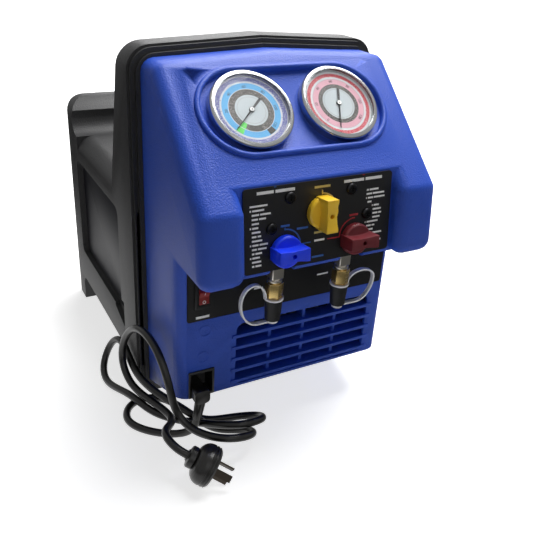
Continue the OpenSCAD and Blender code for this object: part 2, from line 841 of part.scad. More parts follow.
module at_port(side) {
    translate([side * port_x, port_y, 0]) children();
}

module adapter(side) {
    color([0.75, 0.75, 0.74]) at_port(side) {
        translate([0, 0, nut_top_z + 5]) linear_extrude(adapter_top_z - nut_top_z - 5)
            polygon(round_box(-adapter_w / 2, -adapter_w / 2, adapter_w / 2, adapter_w / 2, 1.2, 3));
        translate([0, 0, nut_top_z]) cylinder(5, r = neck_r);
        translate([0, 0, nut_top_z + 1.4]) cylinder(2, r = collar_r);
    }
}

module flare(side) {
    color([0.78, 0.62, 0.25]) at_port(side) {
        translate([0, 0, nut_bottom_z]) rotate([0, 0, 30])
            cylinder(nut_h, r = nut_af / 2 / cos(30), $fn = 6);
        translate([0, 0, nut_bottom_z - flare_l]) cylinder(flare_l, r = flare_r);
    }
}

module cap(side) {
    color([0.06, 0.06, 0.06]) at_port(side) difference() {
        rotate_extrude()
            polygon([[0, cap_top_z - cap_l - nub_l], [nub_r, cap_top_z - cap_l - nub_l],
                [nub_r, cap_top_z - cap_l], [cap_end_r - 0.8, cap_top_z - cap_l],
                [cap_end_r, cap_top_z - cap_l + 0.8], [cap_r, cap_top_z - 0.6],
                [cap_r - 0.6, cap_top_z], [0, cap_top_z]]);
        translate([0, 0, nut_bottom_z - flare_l - gap]) cylinder(flare_l + eps, r = flare_r + gap);
    }
}

// A strap runs from the ring under the nut, over in a loop, and back to the eye under the cap
eye_t = 2.2;
strap_x = 8.4;
strap_in = 17;
ring_z = nut_bottom_z - gap - strap_t;
eye_z = cap_top_z - cap_l - gap - eye_t;
function oval(c, rx, rz, a0, a1, n) =
    [for (i = [0:n]) let (a = a0 + (a1 - a0) * i / n) c + [rx * cos(a), rz * sin(a)]];
function strap_edge(reach, rise, t) =
    let (over = (reach - strap_x) / 2, drop = ring_z - eye_z - eye_t / 2, z = ring_z + strap_t / 4)
    concat(oval([-strap_x - over, z], over + t, rise + t, 0, 180, 16),
        oval([-reach + strap_in, z], strap_in + t, drop + strap_t / 4 + t, 184, 270, 10),
        [[-nub_r - 1.2, eye_z + eye_t / 2 - t]]);
function back(p) = [for (i = [len(p) - 1:-1:0]) p[i]];

module strap(side, reach, rise) {
    color([0.85, 0.86, 0.86, 0.6]) at_port(side) mirror([side > 0 ? 1 : 0, 0, 0]) {
        translate([0, 0, ring_z]) difference() {
            cylinder(strap_t, r = flare_r + 3.4);
            translate([0, 0, -eps]) cylinder(strap_t + 2 * eps, r = flare_r + gap);
        }
        along_y(-strap_w / 2, strap_w / 2)
            polygon(concat(strap_edge(reach, rise, strap_t / 2),
                back(strap_edge(reach, rise, -strap_t / 2))));
        translate([0, 0, eye_z]) difference() {
            cylinder(eye_t, r = nub_r + 3);
            translate([0, 0, -eps]) cylinder(eye_t + 2 * eps, r = nub_r + gap);
        }
    }
}

module inlet_adapter() { adapter(-1); }
module inlet_flare() { flare(-1); }
module inlet_cap() { cap(-1); }
module inlet_strap() { strap(-1, inlet_strap_reach, inlet_strap_rise); }
module outlet_adapter() { adapter(1); }
module outlet_flare() { flare(1); }
module outlet_cap() { cap(1); }
module outlet_strap() { strap(1, outlet_strap_reach, outlet_strap_rise); }

// Rocker switch: a housing with a round pocket, and a rocker that turns on two pins
pivot_in = 3;
pin_r = 1;
housing_d = 16;
housing_rim = 2;
module on_switch() {
    translate([-switch_x, face_y + pivot_in, switch_z]) children();
}

module rocker_housing() {
    body_w = rocker_w + 3.4;
    body_h = 2 * rocker_r + 2.4;
    color([0.05, 0.05, 0.05]) difference() {
        on_switch() {
            translate([-body_w / 2, -pivot_in, -body_h / 2]) cube([body_w, housing_d, body_h]);
            translate([-body_w / 2 - housing_rim, -pivot_in - 1.5, -body_h / 2 - housing_rim])
                cube([body_w + 2 * housing_rim, 1.5, body_h + 2 * housing_rim]);
        }
        on_switch() rotate([0, 90, 0]) cylinder(rocker_w + 2 * gap, r = rocker_r + gap, center = true);
        on_switch() rotate([0, 90, 0]) cylinder(body_w + 4, r = pin_r + run, center = true);
    }
}

module rocker_button() {
    rise = 6.5;
    color([0.75, 0.06, 0.05]) on_switch() rotate([rocker_tilt, 0, 0]) {
        intersection() {
            rotate([0, 90, 0]) cylinder(rocker_w, r = rocker_r, center = true);
            along_x(rocker_w + 2)
                polygon([[-rise + 2.2, 0], [-rise - 0.6, rocker_r], [rocker_r, rocker_r],
                    [rocker_r, -rocker_r], [-rise - 0.6, -rocker_r]]);
        }
        rotate([0, 90, 0]) cylinder(rocker_w + 2.6, r = pin_r, center = true);
    }
}

// Mains inlet in the lower face, with its pocket
inlet_d = 20;
inlet_rim = 1;
inlet_wall = 1.6;
nose_d = 14;
module mains_inlet() {
    color([0.05, 0.05, 0.05]) difference() {
        translate([-inlet_x, face_y, inlet_z]) {
            translate([-inlet_w / 2, 0, -inlet_h / 2]) cube([inlet_w, inlet_d, inlet_h]);
            translate([-inlet_w / 2 - inlet_rim, -1.5, -inlet_h / 2 - inlet_rim])
                cube([inlet_w + 2 * inlet_rim, 1.5, inlet_h + 2 * inlet_rim]);
        }
        translate([-inlet_x - inlet_w / 2 + inlet_wall, face_y - 1.5 - eps,
            inlet_z - inlet_h / 2 + inlet_wall])
            cube([inlet_w - 2 * inlet_wall, nose_d + 1.5 + eps, inlet_h - 2 * inlet_wall]);
    }
}

// Cord set: angled connector, cord, plug and pins
body_w = 15;
body_h = 14.3;
body_out = 11;
body_x = -inlet_x - 3.5;
body_z = inlet_z - inlet_h / 2 - 1.3;
nose_w = 12;
relief_l = 20;
relief_lean = 10;
relief_axis = [sin(relief_lean), 0, cos(relief_lean)];
cord_exit = [body_x, face_y - 1.5 - body_out / 2, body_z] - relief_l * relief_axis;
module cord_connector() {
    nose_z = inlet_z - inlet_h / 2 + inlet_wall + gap;
    color([0.04, 0.04, 0.04]) {
        along_y(face_y - 1.5 - eps, face_y + nose_d - gap)
            polygon(round_box(body_x - nose_w / 2, nose_z, body_x + nose_w / 2, body_z + body_h - 1, 2, 3));
        along_y(face_y - 1.5 - body_out, face_y - 1.5)
            polygon(round_box(body_x - body_w / 2, body_z, body_x + body_w / 2, body_z + body_h, 4, 4));
        translate(cord_exit) rotate([0, relief_lean, 0])
            cylinder(relief_l + 2, r1 = cord_d / 2 + 0.5, r2 = cord_d / 2 + 1.6);
    }
}

// Route of the cord's middle line, from the connector to the plug
cord_route = [
    [-99.2, -149.5, 22.8], [-104.8, -144.7, 9.9], [-119.6, -130.2, 2.2], [-139.6, -120.2, 5.8],
    [-153.2, -98, 4.7], [-143.8, -74.1, 4.4], [-118.9, -67.6, 4.1], [-98, -84.7, 3.5],
    [-87.4, -129.5, 5.5], [-58.1, -131.6, 2.7], [-32.9, -142.5, 6.7], [-30.9, -170.9, 24.7],
    [-68.1, -182.5, 34.2], [-93.9, -143.9, 18.7], [-104, -127.5, 10.9], [-127.2, -101.5, 8.6],
    [-138.7, -69.5, 15.9], [-152.6, -28.4, 0.7], [-149.1, 0, 7.3], [-135.2, 5.8, 33.7],
    [-129.8, -21.1, 51.7], [-130, -54.6, 30.8], [-126.4, -101.1, 36.4], [-96.7, -126.4, 20.4],
    [-78, -143.2, 0.6], [-48.5, -157.8, 6.5], [-50.6, -186.3, 23.4], [-83.1, -194, 33],
    [-105.5, -164.5, 25.3], [-117.8, -146.4, 38.4], [-121.5, -144.7, 60.9], [-125.6, -130.2, 98.4],
    [-129.9, -89.9, 105.7], [-133.4, -52.8, 81.6], [-139.6, -38.9, 43.9], [-136.9, -64.5, 17.9],
    [-121.7, -101.1, 19.4], [-109.8, -131.9, 16.3], [-138.5, -159.4, 37.9], [-132.9, -183.8, 34.6]];
plug_at = [-111.2, -199.6, 21.5];
plug_dir = -36;
plug_dip = 26;
plug_back = 18;
plug_axis = [cos(plug_dip) * cos(plug_dir), cos(plug_dip) * sin(plug_dir), -sin(plug_dip)];

// Smooth line that the route's points pull towards themselves, through the first and the last
function spline(p, i, t) =
    let (b = p[i], c = p[i + 1], a = i > 0 ? p[i - 1] : 2 * b - c,
        d = i + 2 < len(p) ? p[i + 2] : 2 * c - b, s = 1 - t)
    (s * s * s * a + (3 * t * t * t - 6 * t * t + 4) * b
        + (3 * s * s * s - 6 * s * s + 4) * c + t * t * t * d) / 6;
cord_end = plug_at - (plug_back + gap) * plug_axis;
cord_line = concat([cord_exit - gap * relief_axis], cord_route, [cord_end]);
cord_steps = 2;
cord_points = concat([for (i = [0:len(cord_line) - 2], k = [0:cord_steps - 1])
    spline(cord_line, i, k / cord_steps)], [cord_end]);

// Sweep of a round section: each ring's frame is carried on from the one before
function tangent(p, i) = unit(p[min(i + 1, len(p) - 1)] - p[max(i - 1, 0)]);
function carried(v, t) = unit(v - (v * t) * t);
function frames(p, i, v) = i == len(p) ? [] :
    let (t = tangent(p, i), u = carried(v, t)) concat([[u, cross(t, u)]], frames(p, i + 1, u));

module tube(points, r, sides) {
    f = frames(points, 0, [1, 0.2, 0.1]);
    n = len(points);
    rings = [for (i = [0:n - 1], k = [0:sides - 1])
        points[i] + r * (cos(k * 360 / sides) * f[i][0] + sin(k * 360 / sides) * f[i][1])];
    walls = [for (i = [0:n - 2], k = [0:sides - 1]) let (j = (k + 1) % sides)
        [i * sides + k, (i + 1) * sides + k, (i + 1) * sides + j, i * sides + j]];
    ends = [[for (k = [0:sides - 1]) k], [for (k = [sides - 1:-1:0]) (n - 1) * sides + k]];
    polyhedron(rings, concat(walls, ends));
}

module mains_cord() {
    color([0.04, 0.04, 0.04]) tube(cord_points, cord_d / 2, 8);
}

plug_r = 19;
plug_face = 9;
pin_l = 17;
module on_plug() {
    translate(plug_at) rotate([0, 90 + plug_dip, plug_dir]) children();
}

module plug_body() {
    color([0.04, 0.04, 0.04]) on_plug()
        rotate_extrude()
            polygon(concat([[0, -plug_back], [5, -plug_back], [5.6, 1 - plug_back], [9, 2 - plug_back],
                [10, 3 - plug_back], [10, -11], [9.2, -10]], arc([plug_r - 11, 1], 11, -80, 0, 6),
                [[plug_r, 2], [plug_r - 0.7, 2.5], [plug_r - 0.7, 3.5], [plug_r, 4], [plug_r, 5],
                 [plug_r - 0.7, 5.5], [plug_r - 0.7, 6.5], [plug_r - 0.2, 7], [plug_r - 2, plug_face],
                 [0, plug_face]]));
}

module plug_pins() {
    color([0.75, 0.72, 0.6]) on_plug() translate([0, 0, plug_face + pin_l / 2]) {
        for (side = [-1, 1])
            rotate([0, 0, side * 30]) translate([0, side * 7, 0]) cube([6.3, 1.6, pin_l], center = true);
        translate([7.5, 0, 0]) cube([6.3, 1.6, pin_l], center = true);
    }
}

// Inside: condenser, fan, motor and twin compressor on the base plate
condenser_y = plate_front_y + 4;
condenser_d = 24;
axis_z = inside_z + condenser_h / 2;
shroud_y = condenser_y + condenser_d + gap;
shroud_d = 22;
shroud_half = fan_r + 10;
fan_y = shroud_y + 6;
fan_d = 16;
motor_y = shroud_y + shroud_d + 18;
motor_end_y = motor_y + motor_l;
// The crankcase and the air behind it share the depth behind the motor
crank_half = 34;
crank_extra = 28;
crank_d = (rear_y - shell_wall - motor_end_y + crank_extra) / 2;
head_r = crank_d / 2 - 11;
head_fin_r = head_r + 7;
head_l = 38;
fin_count = 24;

module condenser() {
    fin_t = 2;
    pitch = (condenser_w - 2 * fin_t) / (fin_count - 1);
    color([0.7, 0.71, 0.72]) {
        for (i = [0:fin_count - 1])
            translate([-condenser_w / 2 + i * pitch, condenser_y, inside_z])
                cube([fin_t, condenser_d, condenser_h]);
        for (k = [0:4])
            translate([0, condenser_y + condenser_d / 2, inside_z + condenser_h * (k + 0.5) / 5])
                rotate([0, 90, 0]) cylinder(condenser_w - 2, r = 4, center = true);
    }
}

module fan_shroud() {
    color([0.1, 0.1, 0.1]) difference() {
        along_y(shroud_y, shroud_y + shroud_d)
            polygon(round_box(-shroud_half, inside_z, shroud_half, axis_z + shroud_half, 6, 4));
        translate([0, shroud_y - eps, axis_z]) rotate([-90, 0, 0])
            cylinder(shroud_d + 2 * eps, r = fan_r + 2);
    }
}

module on_axis(y) {
    translate([0, y, axis_z]) rotate([-90, 0, 0]) children();
}

module fan_blade() {
    hub_r = 14;
    color([0.3, 0.3, 0.32]) on_axis(fan_y) difference() {
        union() {
            cylinder(fan_d, r = hub_r);
            for (i = [0:blade_count - 1])
                rotate([0, 0, i * 360 / blade_count]) translate([hub_r - 2, 0, fan_d / 2]) rotate([32, 0, 0])
                    translate([0, -11, -1]) cube([fan_r - hub_r, 22, 2]);
        }
        translate([0, 0, -eps]) cylinder(fan_d + 2 * eps, r = shaft_r);
    }
}

shaft_in = 20;
module fan_shaft() {
    color([0.75, 0.75, 0.75]) on_axis(fan_y) cylinder(motor_y - fan_y + shaft_in, r = shaft_r);
}

module motor() {
    color([0.25, 0.26, 0.28]) difference() {
        union() {
            on_axis(motor_y) cylinder(motor_l, r = motor_r);
            on_axis(motor_y - 6) cylinder(6, r = 16);
            translate([-motor_r * 0.7, motor_y + 10, inside_z])
                cube([motor_r * 1.4, motor_l - 20, axis_z - inside_z]);
        }
        on_axis(motor_y - 6 - eps) cylinder(shaft_in + 8, r = shaft_r + run);
    }
}

module crankcase() {
    color([0.62, 0.63, 0.65]) translate([0, motor_end_y, 0]) {
        along_y(0, crank_d)
            polygon(round_box(-crank_half, inside_z + 12, crank_half, axis_z + 40, 8, 4));
        for (side = [-1, 1])
            translate([side * (crank_half - 10) - 6, 6, inside_z]) cube([12, crank_d - 12, 14]);
    }
}

module cylinder_heads() {
    fins = 5;
    color([0.66, 0.67, 0.69]) for (side = [-1, 1])
        translate([side * crank_half, motor_end_y + crank_d / 2, axis_z]) rotate([0, side * 90, 0]) {
            cylinder(head_l, r = head_r);
            for (i = [0:fins - 1])
                translate([0, 0, 6 + i * 7]) cylinder(3, r = head_fin_r);
        }
}

module run_capacitor() {
    color([0.2, 0.2, 0.22]) translate([-half_w + 44, motor_y + 40, inside_z]) cylinder(75, r = 18);
}

// Copper lines from the manifold's back to the cylinder heads
line_r = 3.2;
line_z = inside_z + condenser_h + 8;
line_x = crank_half + 20;
module line_from(side) {
    start_v = 22;
    start_y = panel_y + (manifold_d - manifold_w) / cos(front_lean) + start_v * sin(front_lean);
    start_z = panel_bottom_z + start_v * cos(front_lean) + (manifold_w - manifold_d) * sin(front_lean);
    head_y = motor_end_y + crank_d / 2;
    x = side * line_x;
    sx = side * (manifold_half - 6);
    run_y = frame_back_y - 10;
    color([0.72, 0.42, 0.25])
        tube([[sx, start_y + 2.4, start_z], [sx, start_y + 25, start_z],
            [sx, start_y + 34, start_z - 2], [x, run_y - 12, line_z + 2], [x, run_y, line_z],
            [x, head_y - 12, line_z], [x, head_y - 4, line_z - 4],
            [x, head_y, line_z - 12], [x, head_y, axis_z + head_fin_r + gap]], line_r, 8);
}

module suction_line() { line_from(-1); }
module discharge_line() { line_from(1); }

left_shell();
right_shell();
carry_handle();
front_fascia();
control_panel();
panel_screws();
connection_strip();
base_plate();
low_gauge_case();
low_gauge_dial();
low_gauge_pointer();
low_gauge_lens();
low_gauge_bezel();
high_gauge_case();
high_gauge_dial();
high_gauge_pointer();
high_gauge_lens();
high_gauge_bezel();
valve_manifold();
inlet_stem();
inlet_knob();
inlet_knob_screw();
outlet_stem();
outlet_knob();
outlet_knob_screw();
mode_stem();
mode_knob();
mode_knob_screw();
inlet_adapter();
inlet_flare();
inlet_cap();
inlet_strap();
outlet_adapter();
outlet_flare();
outlet_cap();
outlet_strap();
rocker_housing();
rocker_button();
mains_inlet();
cord_connector();
mains_cord();
plug_body();
plug_pins();
condenser();
fan_shroud();
fan_blade();
fan_shaft();
motor();
crankcase();
cylinder_heads();
run_capacitor();
suction_line();
discharge_line();
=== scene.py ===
"""Finishes for a portable refrigerant recovery machine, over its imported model.

Lengths are in metres in the model's own frame: +Z up, the controls towards -Y.
"""

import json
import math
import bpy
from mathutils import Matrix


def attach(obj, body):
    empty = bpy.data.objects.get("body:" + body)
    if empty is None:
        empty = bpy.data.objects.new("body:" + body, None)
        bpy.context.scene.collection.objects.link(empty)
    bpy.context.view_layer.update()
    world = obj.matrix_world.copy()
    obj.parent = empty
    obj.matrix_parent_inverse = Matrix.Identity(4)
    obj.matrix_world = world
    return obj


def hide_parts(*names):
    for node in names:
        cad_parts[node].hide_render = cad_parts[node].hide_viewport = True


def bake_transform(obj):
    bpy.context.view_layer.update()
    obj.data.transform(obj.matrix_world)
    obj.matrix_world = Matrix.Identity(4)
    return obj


bl_info = {
    "name": "Recovery Machine Finishes",
    "version": (1, 0, 0),
    "blender": (4, 5, 0),
    "location": "View3D > Sidebar > Machine",
    "description": "Dresses the packed recovery machine with edges, print, cord and finishes",
    "category": "Object",
}

import bpy
from bpy.props import FloatProperty, FloatVectorProperty, IntProperty, PointerProperty
from mathutils import Matrix, Vector

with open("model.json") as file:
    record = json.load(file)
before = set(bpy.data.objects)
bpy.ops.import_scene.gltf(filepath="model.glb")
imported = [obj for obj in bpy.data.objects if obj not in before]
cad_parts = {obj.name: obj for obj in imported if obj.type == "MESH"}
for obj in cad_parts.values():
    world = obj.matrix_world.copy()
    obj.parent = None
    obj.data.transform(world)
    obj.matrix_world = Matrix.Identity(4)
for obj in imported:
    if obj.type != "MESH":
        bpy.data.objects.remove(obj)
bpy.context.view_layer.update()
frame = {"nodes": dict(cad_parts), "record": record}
NODES = frame["nodes"]
MM = 0.001
MACHINE = "machine"

# The photograph's camera: angles in degrees, lens and sensor in millimetres
CAMERA_AZIMUTH = -29.22
CAMERA_ELEVATION = 26.72
CAMERA_ROLL = 3.34
CAMERA_PLACE = (-0.2903, -0.60328, 0.44848)
CAMERA_LENS = 44.55
CAMERA_SENSOR = 36
CAMERA_SHIFT = (0.0069, -0.0127)


def surface(origin, lean):
    """A frame on a surface: u to the right, v up the surface, w out of it."""
    return Matrix.Translation(origin) @ Matrix.Rotation(lean, 4, "X")


# Surfaces that carry print
FRONT_LEAN = math.radians(6.6)
GAUGE_SLOPE = math.radians(43.4)
PANEL = surface((0, -0.18402, 0.1945), math.pi / 2 - FRONT_LEAN)
SLOPE = surface((0, -0.1264, 0.3137), GAUGE_SLOPE)
FACE = surface((0, -0.1425, 0), math.pi / 2)

# The left side's recess, u towards the front, and the plate in it
SIDE = Matrix.Translation((-0.118, 0.075, 0.133)) @ Matrix(
    ((0, 0, -1, 0), (-1, 0, 0, 0), (0, 1, 0, 0), (0, 0, 0, 1)))
SIDE_PLATE_SIZE = (0.156, 0.112)

# Gauges and ports
GAUGE_X = 0.0427
DIAL_TOP_W = 1.1 * MM
PORT_X = 0.0346

# On each pointer's pivot, in millimetres: radius, height, foot above the gauge's frame; and a colour
HUB = (
    ("cap", 2.0, 0.35, 2.5, (0.8, 0.8, 0.79)),
    ("pin", 0.55, 0.2, 2.85, (0.02, 0.02, 0.02)),
)

# Each gauge's scale: its end value, its sweep, and lengths in millimetres
SCALE_END = 120
SCALE_SWEEP = math.radians(264)
SCALE_START = math.pi / 2 + SCALE_SWEEP / 2
TICKS = 60
TICK_INNER = 28
LONG_TICK_INNER = 26.4
TICK_OUTER = 30.4
TICK_WIDE = 0.28
NUMBER_RADIUS = 22.4
NUMBER_TALL = 3.6

# Print is this thick in metres. Its places on a surface are in millimetres
PRINT_T = 0.12 * MM
ARC_STEPS = 24
PORT_U = PORT_X / MM
PORT_ARC_V = 19.3
MODE_ARC_V = 44.8
PORT_LINE = (PORT_ARC_V - 0.45, PORT_ARC_V + 0.45)

# Rows of bars in the panel's two columns: the first row's middle, and each bar's left and right end
FIRST_ROW_V = 57.5
ROW_PITCH = 3.62
ROW_TALL = 1.55
LEFT_ROWS = (
    [(-66.8, -50.8)], [(-66.8, -65.6), (-64.6, -53.8)], [(-65, -58.4), (-57.4, -47.8)],
    [(-65, -59.5), (-58.4, -52.2)], [(-65, -58.6)], [(-66.8, -65.6), (-64.6, -59.2)],
    [(-65, -57.2)], [(-65, -60.8), (-59.8, -56.6)], [(-65, -55.6)],
    [(-66.8, -65.6), (-64.6, -59), (-58, -50.4)], [(-65, -60.6), (-59.6, -51.6)],
    [(-65, -62.8), (-61.8, -55.8)], [(-66.8, -65.6), (-64.6, -57.8)], [(-65, -56.6)],
    [(-65, -62.9), (-61.9, -56.4)],
)
RIGHT_ROWS = (
    [(46.2, 48.4), (49.2, 58.6)], [(46.2, 52), (52.8, 64.9)], [(45.8, 46.8), (47.8, 53.4), (54.2, 65.6)],
    [(47.6, 51.8)], [(52.6, 53.4), (54.4, 60)], [(53.6, 62.4)], [(53.6, 59), (59.8, 63)],
    [(53.6, 61.6)], [(45.8, 46.8), (47.8, 59.6)], [(47.4, 52.6), (53.4, 56.4)], [(47.4, 54.8)],
    [(47.4, 64.4)], [(50.4, 56.8)], [(52.4, 64.2)],
)

# Single bars: left end, foot, right end, top
HEADINGS = ((-60.4, 66.4, -45.2, 68.9), (-43.6, 66.4, -25.6, 68.9),
            (22.2, 66.4, 42.6, 68.9), (44.2, 66.4, 61.4, 68.9))
PORTS_BAR = (-5.9, 18.9, 4.3, 20.7)
STRIP_BARS = ((-96.9, 135.3, -84, 137.7), (-40, 153.45, -30.8, 155.15), (27.6, 154.55, 39.8, 156.25))

# Coloured print by each valve: its arc as centre, radius, width, start and end in degrees; and bars
VALVE_PRINT = (
    ("blue", (0.03, 0.13, 0.45), ((-PORT_U, PORT_ARC_V), 15, 1.3, 0, 92), (
        (-20, PORT_LINE[0], -9.4, PORT_LINE[1]), (-34.9, 33.4, -33.9, 36), (-38.6, 36.5, -30.2, 38.3),
        (-23.2, 32.2, -12.3, 34), (-8, 4.4, 3.9, 6.2), (-45, 71, -42.8, 71.7))),
    ("red", (0.45, 0.02, 0.03), ((PORT_U, PORT_ARC_V), 15, 1.0, 88, 180), (
        (7.2, PORT_LINE[0], 19.8, PORT_LINE[1]), (29.1, 36.3, 38.1, 38.1), (41, 71, 43.2, 71.7))),
    ("yellow", (0.62, 0.5, 0.16), ((0, MODE_ARC_V), 15.8, 1.2, 2, 86), (
        (0.4, 59.4, 1.5, 63.2), (-6.8, 65.2, 8.5, 67.2), (-6.2, 26, 3, 27.8))),
)

# Blocks of colour in the low dial's rings: radius, width, start and end in degrees
LOW_PATCHES = (
    ("green", (0.1, 0.55, 0.09), ((17.3, 5, 223, 237), (23.2, 5.2, 221, 236))),
    ("dark", (0.035, 0.035, 0.03), ((17.3, 5, 246, 284), (23.2, 5.2, 292, 308))),
)

# The rocker's ridge as it tilts at rest, out from its pivot. Its two faces lean back from the ridge by
# an angle in degrees, and carry marks at places in millimetres
ROCKER_TILT = math.radians(11)
ROCKER_RIDGE_OUT = 4.3 * MM
ROCKER = (Matrix.Translation((-0.0897, -0.1395, 0.158)) @ Matrix.Rotation(ROCKER_TILT, 4, "X")
          @ Matrix.Translation((0, -ROCKER_RIDGE_OUT, 0)))
ROCKER_FACE_LEAN = 17.3
ROCKER_MARK_V = 4.9
ROCKER_MARK_TALL = 4.2

# Studio: each lamp's place, size in metres and power in watts
LAMPS = (
    ("top_light", (0.7, 0.25, 2.0), 1.3, 60),
    ("back_light", (0.9, 1.7, 1.25), 1.2, 16),
    ("front_light", (-0.3, -2.0, 1.3), 1.2, 2.4),
)
LAMP_AIM = Vector((0, -0.05, 0.18))
FLOOR_SIZE = 12
FLOOR_DROP = 0.4 * MM
WORLD_IN_MIRRORS = 0.42
WORLD_FILL = 0.05

# The cord's middle line: the model's own route points, in millimetres
CORD_EXIT = (-97.97, -149.5, 30)
CORD_ROUTE = [
    (-99.2, -149.5, 22.8), (-104.8, -144.7, 9.9), (-119.6, -130.2, 2.2), (-139.6, -120.2, 5.8),
    (-153.2, -98, 4.7), (-143.8, -74.1, 4.4), (-118.9, -67.6, 4.1), (-98, -84.7, 3.5),
    (-87.4, -129.5, 5.5), (-58.1, -131.6, 2.7), (-32.9, -142.5, 6.7), (-30.9, -170.9, 24.7),
    (-68.1, -182.5, 34.2), (-93.9, -143.9, 18.7), (-104, -127.5, 10.9), (-127.2, -101.5, 8.6),
    (-138.7, -69.5, 15.9), (-152.6, -28.4, 0.7), (-149.1, 0, 7.3), (-135.2, 5.8, 33.7),
    (-129.8, -21.1, 51.7), (-130, -54.6, 30.8), (-126.4, -101.1, 36.4), (-96.7, -126.4, 20.4),
    (-78, -143.2, 0.6), (-48.5, -157.8, 6.5), (-50.6, -186.3, 23.4), (-83.1, -194, 33),
    (-105.5, -164.5, 25.3), (-117.8, -146.4, 38.4), (-121.5, -144.7, 60.9), (-125.6, -130.2, 98.4),
    (-129.9, -89.9, 105.7), (-133.4, -52.8, 81.6), (-139.6, -38.9, 43.9), (-136.9, -64.5, 17.9),
    (-121.7, -101.1, 19.4), (-109.8, -131.9, 16.3), (-138.5, -159.4, 37.9), (-132.9, -183.8, 34.6)]
PLUG_BACK_END = (-124.29, -190.09, 29.39)


class MachineColours(bpy.types.PropertyGroup):
    """Colours that a user would change."""

    shell: FloatVectorProperty(
        name="Shell", description="Black half shells and handle", subtype="COLOR", size=3,
        min=0, max=1, default=(0.02, 0.02, 0.021))
    fascia: FloatVectorProperty(
        name="Fascia", description="Blue front moulding", subtype="COLOR", size=3,
        min=0, max=1, default=(0.02, 0.085, 0.56))
    film: FloatVectorProperty(
        name="Panel film", description="Black printed panel and strip", subtype="COLOR", size=3,
        min=0, max=1, default=(0.012, 0.012, 0.013))
    low_side: FloatVectorProperty(
        name="Low side", description="Blue of the inlet knob", subtype="COLOR", size=3,
        min=0, max=1, default=(0.006, 0.05, 1.0))
    high_side: FloatVectorProperty(
        name="High side", description="Maroon of the outlet knob", subtype="COLOR", size=3,
        min=0, max=1, default=(0.17, 0.018, 0.026))
    mode: FloatVectorProperty(
        name="Mode", description="Yellow of the mode knob", subtype="COLOR", size=3,
        min=0, max=1, default=(1.0, 0.62, 0.03))
    print_white: FloatVectorProperty(
        name="White print", description="White marks on the panel", subtype="COLOR", size=3,
        min=0, max=1, default=(0.92, 0.92, 0.9))


class MachineSizes(bpy.types.PropertyGroup):
    """Sizes that a user would change."""

    shell_edge: FloatProperty(
        name="Shell edge", description="Round on the shells' sharp edges", unit="LENGTH",
        default=1.8 * MM, min=0.2 * MM, max=4 * MM)
    fascia_edge: FloatProperty(
        name="Fascia edge", description="Round on the fascia's sharp edges", unit="LENGTH",
        default=1.0 * MM, min=0.2 * MM, max=3 * MM)
    knob_edge: FloatProperty(
        name="Knob edge", description="Round on the knobs' edges", unit="LENGTH",
        default=0.7 * MM, min=0.1 * MM, max=1.5 * MM)
    cord_diameter: FloatProperty(
        name="Cord diameter", description="Outside of the mains cord", unit="LENGTH",
        default=7.5 * MM, min=5 * MM, max=9 * MM)
    cord_steps: IntProperty(
        name="Cord steps", description="Points on the cord between two route points",
        default=8, min=2, max=16)


class Wire:
    """A node socket that takes part in Python expressions; an expression adds Math nodes."""

    def __init__(self, tree, socket):
        self.tree = tree
        self.socket = socket

    def math(self, operation, *values):
        node = self.tree.nodes.new("ShaderNodeMath")
        node.operation = operation
        for i, value in enumerate(values):
            plug(self.tree, node.inputs[i], value)
        return Wire(self.tree, node.outputs[0])

    def __add__(self, other):
        return self.math("ADD", self, other)

    def __radd__(self, other):
        return self.math("ADD", other, self)

    def __mul__(self, other):
        return self.math("MULTIPLY", self, other)

    def __rmul__(self, other):
        return self.math("MULTIPLY", other, self)

    def __gt__(self, other):
        return self.math("GREATER_THAN", self, other)

    def __lt__(self, other):
        return self.math("LESS_THAN", self, other)


def plug(tree, socket, value):
    """Links a wire to a socket, or sets the socket's own value."""
    if isinstance(value, Wire):
        tree.links.new(value.socket, socket)
    else:
        socket.default_value = value


class Nodes:
    """A node tree whose nodes are all added by one method."""

    def __init__(self, tree):
        self.tree = tree

    def node(self, kind, settings=None, output=0, **sockets):
        """Any node: its settings come first, then its sockets by name, or by number as i0, i1."""
        node = self.tree.nodes.new("ShaderNode" + kind)
        for name, value in (settings or {}).items():
            setattr(node, name, value)
        for name, value in sockets.items():
            key = int(name[1:]) if name[0] == "i" and name[1:].isdigit() else name.replace("_", " ")
            plug(self.tree, node.inputs[key], value)
        return Wire(self.tree, node.outputs[output])


class Finish(Nodes):
    """One material: a principled shader with constant inputs, and nodes for what varies."""

    def __init__(self, name, colour, roughness, **constants):
        self.material = bpy.data.materials.new(name)
        self.material.use_nodes = True
        super().__init__(self.material.node_tree)
        self.shader = self.tree.nodes["Principled BSDF"]
        self.shader.inputs["Base Color"].default_value = (*colour, 1)
        self.shader.inputs["Roughness"].default_value = roughness
        for socket, value in constants.items():
            self.shader.inputs[socket.replace("_", " ")].default_value = value

    def place(self):
        return self.node("TexCoord", output="Object")

    def noise(self, scale, detail=2.0):
        return self.node("TexNoise", Vector=self.place(), Scale=scale, Detail=detail)

    def mix(self, factor, below, above):
        """Mixes two colours: the Mix node's colours are its sockets 6 and 7, and its output 2."""
        return self.node("Mix", {"data_type": "RGBA"}, output=2, i0=factor, i6=below, i7=above)

    def offset(self, centre):
        """The way from a centre to a place on the surface."""
        return self.node("VectorMath", {"operation": "SUBTRACT"}, i0=self.place(), i1=centre)

    def length(self, vector):
        return self.node("VectorMath", {"operation": "LENGTH"}, output="Value", i0=vector)

    def feed(self, socket, wire):
        plug(self.tree, self.shader.inputs[socket], wire)
        return self

    def grain(self, scale, depth, strength):
        """A fine grain on the normal."""
        bump = self.node("Bump", Strength=strength, Distance=depth, Height=self.noise(scale))
        return self.feed("Normal", bump)


